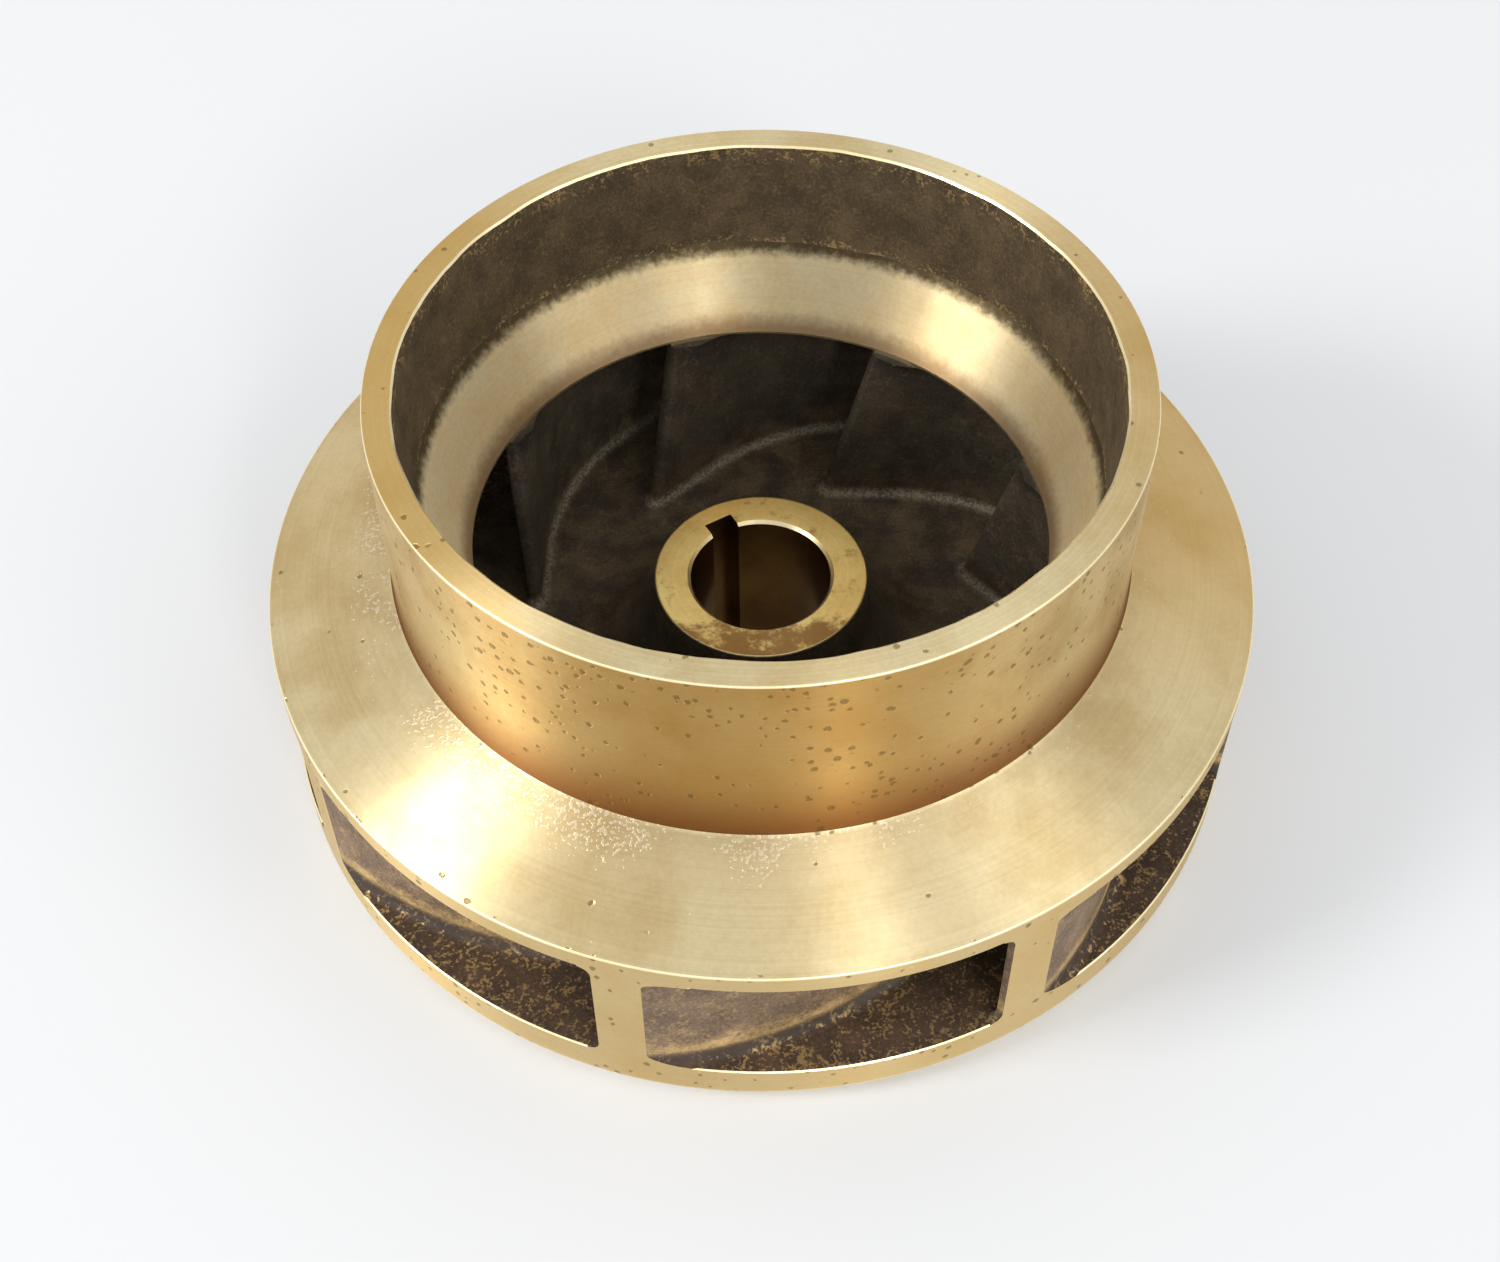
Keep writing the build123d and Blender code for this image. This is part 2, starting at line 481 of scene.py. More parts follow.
    def _raise(self, piece: bpy.types.Object) -> None:
        """Raises the flat outline to a wall that flares at both shrouds.

        Args:
            piece: the flat outline, as wide as the wall and both fillets.
        """
        middle = (self.floor + self.crown) / 2
        angles = [math.pi / 2 * step / self.fillet_steps for step in range(self.fillet_steps + 1)]
        steps = [
            (
                self.root_fillet * (math.sin(after) - math.sin(before)),
                self.root_fillet * (math.cos(before) - math.cos(after)),
            )
            for before, after in zip(angles, angles[1:])
        ]
        with editing(piece):
            bpy.ops.mesh.extrude_region_move(
                TRANSFORM_OT_translate={"value": (0, 0, (self.sunk + self.toe) * MM)}
            )
            for inwards, upwards in steps:
                bpy.ops.mesh.inset(thickness=inwards * MM, depth=0, use_even_offset=True)
                bpy.ops.transform.translate(value=(0, 0, upwards * MM))
            rise = middle - self.floor - self.toe - self.root_fillet
            bpy.ops.mesh.extrude_region_move(TRANSFORM_OT_translate={"value": (0, 0, rise * MM)})
            bpy.ops.mesh.delete(type="FACE")
            bpy.ops.mesh.select_all(action="SELECT")
            bpy.ops.mesh.duplicate()
            bpy.ops.transform.resize(value=(1, 1, -1), center_override=(0, 0, middle * MM))
            clean_shell()

    def _fit(
        self,
        vertex: bpy.types.MeshVertex,
        ceiling: Callable[[float], float],
        run_start: Vector,
        heading: Vector,
    ) -> None:
        """Moves one vertex so that the crown follows the front shroud and the edge leans.

        Args:
            vertex: the vertex, moved in place.
            ceiling: height of the front shroud's inner cone at a radius.
            run_start: where the straight run starts, mm.
            heading: direction of the straight run, inwards.
        """
        place = vertex.co / MM
        if place.z > (self.floor + self.crown) / 2:
            place.z += ceiling(place.xy.length) - self.crown
        along = (place.xy - run_start.xy).dot(heading.xy)
        beside = abs((place.xy - run_start.xy).dot(Vector((-heading.y, heading.x))))
        if along > 0 and beside < self.thickness * 2:
            share = along / self.straight
            back = self.lean * max(place.z - self.floor, 0.0) / self.lean_height * share
            outwards = Vector((heading.y, -heading.x, 0))
            outwards *= math.copysign(1, outwards.dot(run_start))
            offset = (place - run_start).dot(outwards)
            out = self.twist * back / self.lean * share - offset * self.taper * share**2
            place += outwards * out - heading * back
        vertex.co = place * MM


@dataclass
class Core:
    """The sand core: the hub's sweep and the space between the shrouds, less the vanes.

    Attributes:
        radius: outside radius of both shrouds.
        floor: height of the back shroud's inner face.
        outlet_top: height of the front shroud's inner face at the outside radius.
        throat_radius: radius of the throat.
        throat_foot: height of the front shroud's inner cone at the throat.
        hub_radius, hub_foot, hub_height, hub_sweep: the hub's cast side and its sweep.
        bore_radius: radius of the bore.
        bore_chamfer: size of the chamfer at the bore's top end.
        inset, drop: how far inside the bore the core's inner face lies, and how far below the
            hub's face it ends, so that its cone cuts the chamfer.
        lip: how much smaller than the throat the core's mouth is.
        top: height of the collar's rim.
        broken_edge: size of the broken edges at the outlets.
        past: how far the core runs out of the blank.
        vanes: the vanes that stand in the core's space.
    """

    radius: float = OUTSIDE_RADIUS
    floor: float = FLOOR
    outlet_top: float = OUTLET_TOP
    throat_radius: float = THROAT_RADIUS
    throat_foot: float = 41.2
    hub_radius: float = 16.8
    hub_foot: float = 19.37
    hub_height: float = HUB_HEIGHT
    hub_sweep: float = 17.0
    bore_radius: float = BORE_RADIUS
    bore_chamfer: float = 0.5
    inset: float = 3.0
    drop: float = 3.6
    lip: float = 1.5
    top: float = TOP
    broken_edge: float = 0.25
    past: float = 4.0
    vanes: Vanes = field(default_factory=Vanes)

    def ceiling(self, radius: float) -> float:
        """Height of the front shroud's inner cone at a radius."""
        slope = (self.throat_foot - self.outlet_top) / (self.radius - self.throat_radius)
        return self.outlet_top + slope * (self.radius - radius)

    def make(self) -> bpy.types.Object:
        """Models the core.

        Returns:
            A closed shape to be cut out of the blank.
        """
        edge = self.broken_edge
        inside = self.bore_radius - self.inset
        mouth = self.throat_radius - self.lip
        break_radius = self.radius - edge
        outer = self.radius + self.past
        core = turned(
            "core",
            [
                Corner(inside, self.hub_height - self.drop),
                Corner(self.bore_radius + self.bore_chamfer, self.hub_height),
                Corner(self.hub_radius, self.hub_height, 0.4),
                Corner(self.hub_foot, self.floor, self.hub_sweep, 16),
                Corner(break_radius, self.floor),
                Corner(break_radius + 2 * edge, self.floor - 2 * edge),
                Corner(outer, self.floor - 2 * edge),
                Corner(outer, self.ceiling(self.radius) + 2 * edge),
                Corner(break_radius + 2 * edge, self.ceiling(break_radius) + 2 * edge),
                Corner(break_radius, self.ceiling(break_radius)),
                Corner(mouth, self.ceiling(mouth)),
                Corner(mouth, self.top + self.past),
                Corner(inside, self.top + self.past),
            ],
        )
        cut(core, self.vanes.make(self.ceiling))
        return core


@dataclass
class Eye:
    """The turned funnel and throat, and the cored wall of the collar above them.

    Attributes:
        throat_radius, throat: radius and height of the throat's lip.
        tip_trim: how far below the lip the tool cuts the vanes' tips.
        wall_foot_radius, wall_foot: where the funnel meets the cored wall.
        rim_radius: radius of the cored wall at the rim.
        top: height of the rim.
        past: how far the tool runs out of the blank.
        wall_rows: rows of faces up the cored wall.
        inside: inner radius of the shape, within the bore.
        broken_edge: size of the rim's broken inner edge.
        unevenness: how far the cored wall stands in or out.
        grain: size of its lumps.
    """

    throat_radius: float = THROAT_RADIUS
    throat: float = THROAT
    tip_trim: float = 0.8
    wall_foot_radius: float = 51.3
    wall_foot: float = WALL_FOOT
    rim_radius: float = 52.1
    top: float = TOP
    past: float = 4.0
    wall_rows: int = 14
    inside: float = 8.0
    broken_edge: float = 0.3
    unevenness: float = 0.22
    grain: float = 9.0

    def make(self) -> bpy.types.Object:
        """Models the eye.

        Returns:
            A closed shape to be cut out of the blank.
        """
        flare, rise = self.rim_radius - self.wall_foot_radius, self.top - self.wall_foot
        rows = [
            Corner(
                self.wall_foot_radius + flare * row / self.wall_rows,
                self.wall_foot + rise * row / self.wall_rows,
            )
            for row in range(self.wall_rows)
        ]
        eye = turned(
            "eye",
            [
                Corner(self.inside, self.throat - self.tip_trim),
                Corner(self.throat_radius, self.throat - self.tip_trim),
                Corner(self.throat_radius, self.throat, 0.5),
                *rows,
                Corner(self.rim_radius, self.top - self.broken_edge),
                Corner(self.rim_radius + 2 * self.broken_edge, self.top + self.broken_edge),
                Corner(self.rim_radius + 2 * self.broken_edge, self.top + self.past),
                Corner(self.inside, self.top + self.past),
            ],
        )
        for vertex in eye.data.vertices:
            self._roughen(vertex)
        return eye

    def _roughen(self, vertex: bpy.types.MeshVertex) -> None:
        """Moves a vertex of the cored wall in or out, and its foot up or down the funnel.

        Args:
            vertex: the vertex, moved in place.
        """
        place = vertex.co / MM
        radius = place.xy.length
        if place.z < self.wall_foot - 0.01 or radius < self.throat_radius:
            return
        spot = Vector((place.x, place.y, place.z)) / self.grain
        push = self.unevenness * (noise.noise(spot) + 0.6 * noise.noise(spot * 2.7))
        if place.z < self.wall_foot + 0.01:
            run = (self.wall_foot_radius - self.throat_radius, self.wall_foot - self.throat)
            place.z += push * run[1] / run[0]
        scale = (radius + push) / radius
        place.x *= scale
        place.y *= scale
        vertex.co = place * MM


@dataclass
class Keyway:
    """The slot for the key, broached right through the hub.

    Attributes:
        width: width of the slot.
        inner, reach: distances of its ends from the axis.
        angle: direction of its middle from +X, degrees.
        height: height of the hub.
        past: length of the slot's tool beyond it.
    """

    width: float = 4.76
    inner: float = 5.0
    reach: float = 13.5125
    angle: float = 121.0
    height: float = HUB_HEIGHT
    past: float = 4.0

    def make(self) -> bpy.types.Object:
        """Models the slot.

        Returns:
            A closed shape to be cut out of the hub.
        """
        deselect_all()
        bpy.ops.mesh.primitive_cube_add(size=MM)
        slot = bpy.context.object
        with editing(slot):
            size = (self.reach - self.inner, self.width, self.height + self.past)
            bpy.ops.transform.resize(value=size)
            middle = ((self.reach + self.inner) / 2 * MM, 0, self.height / 2 * MM)
            bpy.ops.transform.translate(value=middle)
            bpy.ops.transform.rotate(
                value=-math.radians(self.angle), orient_axis="Z", center_override=(0, 0, 0)
            )
        return slot


@dataclass
class Casting:
    """The finished impeller: the blank, less its core, eye and keyway.

    Attributes:
        outside: the blank.
        core, eye, keyway: what is cut out of it.
        smooth_angle: sharpest edge that is shaded smooth, degrees.
    """

    outside: Outside = field(default_factory=Outside)
    core: Core = field(default_factory=Core)
    eye: Eye = field(default_factory=Eye)
    keyway: Keyway = field(default_factory=Keyway)
    smooth_angle: float = 32.0

    def make(self) -> bpy.types.Object:
        """Models the casting.

        Returns:
            The casting, without its finishes.
        """
        casting = self.outside.make()
        cut(casting, self.core.make())
        cut(casting, self.eye.make())
        cut(casting, self.keyway.make())
        with editing(casting):
            bpy.ops.mesh.remove_doubles(threshold=NEAR)
        take(casting)
        bpy.ops.object.shade_smooth_by_angle(angle=math.radians(self.smooth_angle))
        return casting

    def skin_of(self, centre: Vector, normal: Vector) -> Skin:
        """Tells which finish a face has.

        Args:
            centre: the middle of the face, mm.
            normal: its direction.

        Returns:
            The finish.
        """
        radius = centre.xy.length
        outwards = normal.xy.dot(centre.xy) / radius
        outside, core, eye = self.outside, self.core, self.eye
        if radius < outside.bore_radius + 2.6 and abs(normal.z) < 0.5:
            return Skin.BORE
        if radius < core.hub_radius + 0.4 and centre.z > core.hub_height - 0.6:
            return Skin.HUB_FACE if normal.z > 0.95 else Skin.EDGE
        if centre.z > outside.top - 0.5:
            return Skin.FACED if normal.z > 0.95 else Skin.EDGE
        if eye.throat_radius - 0.3 < radius < eye.wall_foot_radius + 0.5 and outwards < 0:
            if eye.throat - 0.9 < centre.z < eye.wall_foot + 1.2:
                lip = centre.z < eye.throat + 0.25 and radius < eye.throat_radius + 0.6
                if lip and outwards < -0.97:
                    return Skin.EDGE
                if normal.z > 0.3:
                    return Skin.FUNNEL
        if radius > outside.radius - 0.5 and centre.z > outside.back_corner:
            if outwards > 0.995:
                return Skin.FACED
            edges = (core.floor - 0.12, core.outlet_top + 0.12, outside.rim_height - 0.15)
            if outwards > 0.4 and min(abs(centre.z - edge) for edge in edges) < 0.22:
                return Skin.EDGE
        if radius > outside.collar_radius - 0.1 and centre.z > outside.rim_height:
            return Skin.COLLAR if normal.z < 0.7 else Skin.FACED
        if centre.z < outside.relief_depth - 0.1 or (
            radius > outside.radius - outside.back_corner and centre.z < outside.back_corner
        ):
            return Skin.FACED
        return Skin.CAST

    def dress(self, casting: bpy.types.Object, finishes: Sequence[bpy.types.Material]) -> None:
        """Gives each face its finish.

        Args:
            casting: the finished mesh.
            finishes: materials in the order of Skin.
        """
        casting.data.materials.clear()
        for material in finishes:
            casting.data.materials.append(material)
        for face in casting.data.polygons:
            face.material_index = self.skin_of(face.center / MM, face.normal)


# --- finishes --------------------------------------------------------------------


def linear(hex_colour: str) -> tuple[float, float, float, float]:
    """Turns an sRGB colour into Blender's linear values.

    Args:
        hex_colour: the colour, such as "#C4A468".

    Returns:
        Red, green, blue and an alpha of 1.
    """
    parts = [int(hex_colour[i : i + 2], 16) / 255 for i in (1, 3, 5)]
    bright = (
        part / 12.92 if part <= 0.04045 else ((part + 0.055) / 1.055) ** 2.4 for part in parts
    )
    return (*bright, 1.0)


class Kind(NamedTuple):
    """A kind of node.

    Attributes:
        name: Blender's name for it.
        settings: its properties.
        slots: the inputs that are given, in order.
        output: the output that is wanted.
    """

    name: str
    settings: dict[str, object] = {}
    slots: Sequence[str | int] = range(5)
    output: str | int = 0


PLACE = Kind("ShaderNodeTexCoord", output="Object")
DIRECTION = Kind("ShaderNodeTexCoord", output="Generated")
LIGHT_PATH = Kind("ShaderNodeLightPath")
TANGENT = Kind("ShaderNodeTangent", {"direction_type": "RADIAL", "axis": "Z"})
SPLIT = Kind("ShaderNodeSeparateXYZ")
SPLIT_COLOUR = Kind("ShaderNodeSeparateColor")
NOISE = Kind("ShaderNodeTexNoise", {}, ("Vector", "Scale", "Detail", "Roughness", "Distortion"))
NOISE_1D = Kind(
    "ShaderNodeTexNoise", {"noise_dimensions": "1D"}, ("W", "Scale", "Detail", "Roughness")
)
CELLS = Kind("ShaderNodeTexVoronoi", {"feature": "F1"}, ("Vector", "Scale", "Randomness"))
# vectors
SCALED = Kind("ShaderNodeVectorMath", {"operation": "SCALE"}, (0, "Scale"))
PRODUCT = Kind("ShaderNodeVectorMath", {"operation": "MULTIPLY"})
SHAKEN = Kind("ShaderNodeVectorMath", {"operation": "MULTIPLY_ADD"})
LENGTH = Kind("ShaderNodeVectorMath", {"operation": "LENGTH"}, output="Value")
# numbers; TIMES_PLUS is a * b + c
TIMES = Kind("ShaderNodeMath", {"operation": "MULTIPLY"})
TIMES_PLUS = Kind("ShaderNodeMath", {"operation": "MULTIPLY_ADD"})
PLUS = Kind("ShaderNodeMath", {"operation": "ADD"})
MINUS = Kind("ShaderNodeMath", {"operation": "SUBTRACT"})
SHARED = Kind("ShaderNodeMath", {"operation": "DIVIDE"})
HIGHER = Kind("ShaderNodeMath", {"operation": "MAXIMUM"})
BELOW = Kind("ShaderNodeMath", {"operation": "LESS_THAN"})
SIZE_OF = Kind("ShaderNodeMath", {"operation": "ABSOLUTE"})
# a value, the range that it comes in, and the range that it goes to
EASED = Kind("ShaderNodeMapRange", {"interpolation_type": "SMOOTHSTEP"})
# a share and two colours
MIX = Kind("ShaderNodeMix", {"data_type": "RGBA"}, (0, 6, 7), 2)
SHADE = Kind("ShaderNodeMix", {"data_type": "RGBA", "blend_type": "MULTIPLY"}, (0, 6, 7), 2)
BUMP = Kind("ShaderNodeBump", {}, ("Height", "Distance", "Strength"))
EMISSION = Kind("ShaderNodeEmission", {}, ("Color", "Strength"))
MIX_SHADER = Kind("ShaderNodeMixShader")


Socket = bpy.types.NodeSocket
Adder = Callable[..., Socket]  # add_node with its tree given


def add_node(tree: bpy.types.NodeTree, kind: Kind, *inputs: object) -> Socket:
    """Adds a node with its settings and links.

    Args:
        tree: the node tree.
        kind: the kind of node.
        inputs: for each of its slots, an output to link, a value to set or a hex colour.

    Returns:
        The output that is wanted of this kind.
    """
    node = tree.nodes.new(kind.name)
    for name, value in kind.settings.items():
        setattr(node, name, value)
    for slot, value in zip(kind.slots, inputs):
        if isinstance(value, Socket):
            tree.links.new(value, node.inputs[slot])
        else:
            node.inputs[slot].default_value = linear(value) if isinstance(value, str) else value
    return node.outputs[kind.output]


def start_material(name: str) -> tuple[bpy.types.Material, bpy.types.Node, Adder]:
    """Starts a material.

    Args:
        name: name of the material.

    Returns:
        The material, its shader, and what adds a node to it.
    """
    material = bpy.data.materials.new(name)
    material.use_nodes = True
    tree = material.node_tree
    return material, tree.nodes["Principled BSDF"], partial(add_node, tree)


def wire(node: bpy.types.Node, values: dict[str, Socket]) -> None:
    """Links outputs to the inputs of a node that is there already.

    Args:
        node: the node.
        values: the output for each input, by the input's name.
    """
    for name, value in values.items():
        node.id_data.links.new(value, node.inputs[name])


@dataclass(frozen=True)
class Place:
    """Where a point of the casting lies, as outputs of a material's nodes, in millimetres.

    Attributes:
        point: the point itself.
        x, y: its place to the right and to the back.
        height: height above the back face.
        radius: distance from the axis.
    """

    point: Socket
    x: Socket
    y: Socket
    height: Socket
    radius: Socket

    @classmethod
    def of(cls, add: Adder) -> "Place":
        """Adds the nodes that work out the place.

        Args:
            add: adds a node to the material.

        Returns:
            The place.
        """
        point = add(SCALED, add(PLACE), 1 / MM)
        x, y, height = add(SPLIT, point).node.outputs
        radius = add(LENGTH, add(PRODUCT, point, (1, 1, 0)))
        return cls(point, x, y, height, radius)


@dataclass(frozen=True)
class TurnedBronze:
    """Cast bronze cut by a lathe tool.

    The tool leaves fine rings, so light spreads across them and stays narrow along them, which
    draws bright fans on the flat faces.  Gas in the metal shows as small pits once it is cut open.

    Attributes:
        name: name of the material.
        colour: fresh metal.
        tarnish: metal that has dulled a little, in broad patches.
        roughness: how far light spreads across the rings.
        anisotropy: how much narrower it stays along them.
        patch: size of the dulled patches, mm.
        ring_pitch: distance of the rings that show, mm; the real feed is finer.
        ring_depth: their depth, mm.
        pits: share of the places for a pit that have one.
        pit_cell: size of one such place, mm.
        pit_radius: radius of the widest pits, mm.
        pit_depth: their depth, mm.
        pit_colour: dirt in the pits.
        speck: light specks etched round the collar's foot.
        speck_size: their size, mm.
        painted_side_gold: painted reflection, deeper gold at the sides and the back.
        painted_land_shade: painted shade, the outside faces between the outlets drawn darker.
        lip: painted reflection, deeper gold on the left of the collar's rim.
        painted_foot_shade: painted shade, darker and browner towards the collar's foot where it
            meets the cone.
        painted_cone_reflection: painted reflection of the cone, a warmer and darker gold at the
            front of the collar.
        stain_and_shade: dull brown of the stains on the hub's face, laid on more thickly at the
            front as painted shade.
        skin: dark casting skin that is left in the funnel.
        skin_above: height where it starts, mm.
        throat_tint: brown at the funnel's lower end.
    """

    name: str
    colour: str
    tarnish: str
    roughness: float
    anisotropy: float = 0.9
    patch: float = 14.0
    ring_pitch: float = 0.45
    ring_depth: float = 0.003
    pits: float = 0.0
    pit_cell: float = 1.9
    pit_radius: float = 0.62
    pit_depth: float = 0.07
    pit_colour: str = "#6E5A33"
    speck: str | None = None
    speck_size: float = 0.55
    painted_side_gold: str | None = None
    painted_land_shade: str = "#C4A468"
    lip: str = "#D8A848"
    painted_foot_shade: str | None = None
    painted_cone_reflection: str = "#A87E3A"
    stain_and_shade: str | None = None
    skin: str | None = None
    skin_above: float = WALL_FOOT
    throat_tint: str = "#8C6038"

    def make(self) -> bpy.types.Material:
        """Makes the material.

        Returns:
            The material.
        """
        material, shader, add = start_material(self.name)
        shader.inputs["Metallic"].default_value = 1.0
        shader.inputs["Anisotropic"].default_value = self.anisotropy
        shader.inputs["Anisotropic Rotation"].default_value = QUARTER_TURN
        place = Place.of(add)
        along = add(PLUS, place.radius, place.height)
        rings = add(NOISE_1D, along, 1 / self.ring_pitch, 3.0, 0.75)
        patches = add(NOISE, place.point, 1 / self.patch, 4.0, 0.6)
        fine = add(NOISE, place.point, 1 / 0.8, 2.0, 0.7)
        dulled = add(EASED, patches, 0.35, 0.7, 0.0, 0.75)
        colour = add(MIX, dulled, self.colour, self.tarnish)
        shade = add(EASED, add(PLUS, rings, fine), 0.6, 1.4, 0.92, 1.05)
        colour = add(SHADE, 1.0, colour, shade)
        relief = add(TIMES, rings, self.ring_depth)
        rough = add(TIMES_PLUS, patches, 0.16, self.roughness - 0.08)

        # Painted reflections at the sides and on the lip, and painted shade on the lands.
        if self.painted_side_gold:
            colour = self._paint_reflections_and_shade(add, place, colour)
        # Painted reflection of the cone at the front, painted shade at the foot.
        if self.painted_foot_shade:
            colour, rough = self._paint_collar_reflection_and_shade(add, place, patches, colour, rough)
        if self.speck:
            specks, share = self._specks(add, place)
            colour = add(MIX, specks, colour, self.speck)
            relief = add(TIMES_PLUS, specks, 0.03, relief)
            rough = add(TIMES_PLUS, share, 0.12, rough)
        if self.pits:
            hollow = self._pits(add, place)
            colour = add(MIX, add(TIMES, hollow, 0.62), colour, self.pit_colour)
            relief = add(TIMES_PLUS, hollow, -self.pit_depth, relief)
        if self.stain_and_shade:
            colour, rough = self._stains_and_shade(add, place, colour, rough)
        if self.skin:
            colour, rough = self._mottle(add, place, colour, rough)
        values = {
            "Tangent": add(TANGENT),
            "Base Color": colour,
            "Roughness": rough,
            "Normal": add(BUMP, relief, MM, 1.0),
        }
        wire(shader, values)
        return material

    def _paint_reflections_and_shade(self, add: Adder, place: Place, colour: Socket) -> Socket:
        """Paints light: deeper gold at the sides and on the lip as painted reflections, and
        painted shade on the lands.

        Args:
            add: adds a node to the material.
            place: where a point lies.
            colour: colour so far.

        Returns:
            The new colour.
        """
        # Painted reflection: the sides and the back drawn in deeper gold.
        aside = add(EASED, add(SIZE_OF, place.x), 28.0, 60.0, 0.0, 0.6)
        aside = add(TIMES, aside, add(EASED, place.x, -30.0, 30.0, 0.4, 1.0))
        behind = add(EASED, place.y, -45.0, 5.0, 0.0, 1.0)
        colour = add(MIX, add(TIMES, aside, behind), colour, self.painted_side_gold)
        # Painted shade: the outside faces between the outlets drawn darker.
        rim = add(EASED, place.radius, OUTSIDE_RADIUS - 0.4, OUTSIDE_RADIUS - 0.2, 0.0, 0.62)
        colour = add(MIX, rim, colour, self.painted_land_shade)
        # Painted reflection: deeper gold on the left of the collar's rim.
        left = add(EASED, place.x, -50.0, -20.0, 0.6, 0.0)
        left = add(TIMES, left, add(EASED, place.height, TOP - 0.8, TOP - 0.2, 0.0, 1.0))
        return add(MIX, left, colour, self.lip)

    def _paint_collar_reflection_and_shade(
        self, add: Adder, place: Place, patches: Socket, colour: Socket, rough: Socket
    ) -> tuple[Socket, Socket]:
        """Paints a reflection of the cone on the front and shade towards the foot.

        Args:
            add: adds a node to the material.
            place: where a point lies.
            patches: the dulled patches.
            colour, rough: colour and roughness so far.

        Returns:
            The new colour and roughness.
        """
        # Painted reflection: the cone shows in the collar's front as a warmer, darker gold.
        painted_cone_reflection = add(EASED, add(SIZE_OF, place.x), 12.0, 46.0, 0.7, 0.0)
        painted_cone_reflection = add(TIMES, painted_cone_reflection, add(EASED, place.y, -45.0, -15.0, 1.0, 0.0))
        colour = add(MIX, painted_cone_reflection, colour, self.painted_cone_reflection)
        # Painted shade: darker, browner and rougher towards the corner with the cone.
        climb = add(TIMES_PLUS, patches, 9.0, place.height)
        low = add(EASED, climb, COLLAR_BASE + 2.7, COLLAR_BASE + 18.7, 0.85, 0.0)
        return add(MIX, low, colour, self.painted_foot_shade), add(TIMES_PLUS, low, 0.2, rough)

    def _pits(self, add: Adder, place: Place) -> Socket:
        """Strews the pits.

        Args:
            add: adds a node to the material.
            place: where a point lies.

        Returns:
            1 in the pits and 0 elsewhere.
        """
        wobble = add(NOISE, place.point, 1 / 0.6, 2.0).node.outputs["Color"]
        shaken = add(SHAKEN, wobble, (0.5, 0.5, 0.5), place.point)
        cells = add(CELLS, shaken, 1 / self.pit_cell, 1.0).node.outputs
        marks = add(SPLIT_COLOUR, cells["Color"]).node.outputs

        # They crowd in places and below the rim, and there are few on the cone and on the lip.
        crowding = add(NOISE, place.point, 1 / 20, 1.0)
        limit = add(EASED, crowding, 0.34, 0.56, self.pits * 0.3, self.pits)
        cone = add(EASED, place.radius, COLLAR_RADIUS + 0.4, COLLAR_RADIUS + 1.0, 0.0, 0.96)
        inside = add(EASED, place.radius, OUTSIDE_RADIUS - 0.8, OUTSIDE_RADIUS - 0.3, 1.0, 0.0)
        limit = add(TIMES, limit, add(MINUS, 1.0, add(TIMES, cone, inside)))
        limit = add(TIMES, limit, add(EASED, place.height, TOP - 0.4, TOP - 0.1, 1.0, 0.15))
        limit = add(TIMES, limit, add(EASED, place.height, TOP - 11.7, TOP - 5.7, 0.85, 1.7))

        reach = add(TIMES_PLUS, marks[1], 0.55 * self.pit_radius, 0.55 * self.pit_radius)
        away = add(SHARED, add(TIMES, cells["Distance"], self.pit_cell), reach)
        dot = add(EASED, away, 0.55, 1.0, 1.0, 0.0)
        return add(TIMES, dot, add(BELOW, marks[0], limit))

    def _specks(self, add: Adder, place: Place) -> tuple[Socket, Socket]:
        """Strews the etched specks round the collar's foot.

        Args:
            add: adds a node to the material.
            place: where a point lies.

        Returns:
            The specks, and how etched the face is.
        """
        grit = add(NOISE, place.point, 1 / self.speck_size, 1.0, 0.4)
        cloud = add(NOISE, place.point, 1 / 15, 3.0)
        share = add(
            TIMES,
            add(EASED, place.radius, COLLAR_RADIUS + 1.0, COLLAR_RADIUS + 12.5, 1.0, 0.0),
            add(EASED, place.height, COLLAR_BASE + 3.7, COLLAR_BASE + 8.7, 1.0, 0.0),
        )
        share = add(TIMES, share, add(EASED, cloud, 0.33, 0.5, 0.1, 1.0))
        share = add(TIMES, share, add(EASED, place.x, 5.0, 40.0, 1.0, 0.3))
        over = add(MINUS, grit, add(EASED, share, 0.0, 1.0, 0.78, 0.53))
        return add(EASED, over, 0.0, 0.06, 0.0, 0.6), share

    def _stains_and_shade(
        self, add: Adder, place: Place, colour: Socket, rough: Socket
    ) -> tuple[Socket, Socket]:
        """Adds dull brown stains, and more of the same brown at the front as painted shade.

        Args:
            add: adds a node to the material.
            place: where a point lies.
            colour, rough: colour and roughness so far.

        Returns:
            The new colour and roughness.
        """
        cloud = add(NOISE, place.point, 1 / 4.5, 6.0, 0.7)
        # Painted shade: more of the brown towards the front.
        painted_front_shade = add(EASED, place.y, -14.0, -6.0, 0.16, -0.04)
        share = add(EASED, add(PLUS, cloud, painted_front_shade), 0.5, 0.68, 0.0, 0.75)
        return add(MIX, share, colour, self.stain_and_shade), add(TIMES_PLUS, share, 0.12, rough)

    def _mottle(
        self, add: Adder, place: Place, colour: Socket, rough: Socket
    ) -> tuple[Socket, Socket]:
        """Leaves islands of dark casting skin where the tool ran out, at the top of the cut.

        Args:
            add: adds a node to the material.
            place: where a point lies.
            colour, rough: colour and roughness so far.

        Returns:
            The new colour and roughness.
        """
        grit = add(NOISE, place.point, 1 / 1.5, 4.0, 0.7)
        rise = add(EASED, place.height, self.skin_above - 4.0, self.skin_above + 0.2, -0.3, 0.24)
        share = add(EASED, add(TIMES_PLUS, grit, 0.45, rise), 0.06, 0.46, 0.0, 0.95)
        climb = add(TIMES_PLUS, grit, 2.0, place.height)
        foot = add(EASED, climb, THROAT + 1.4, THROAT + 5.0, 0.7, 0.0)
        colour = add(MIX, foot, colour, self.throat_tint)
        return add(MIX, share, colour, self.skin), add(TIMES_PLUS, share, 0.1, rough)


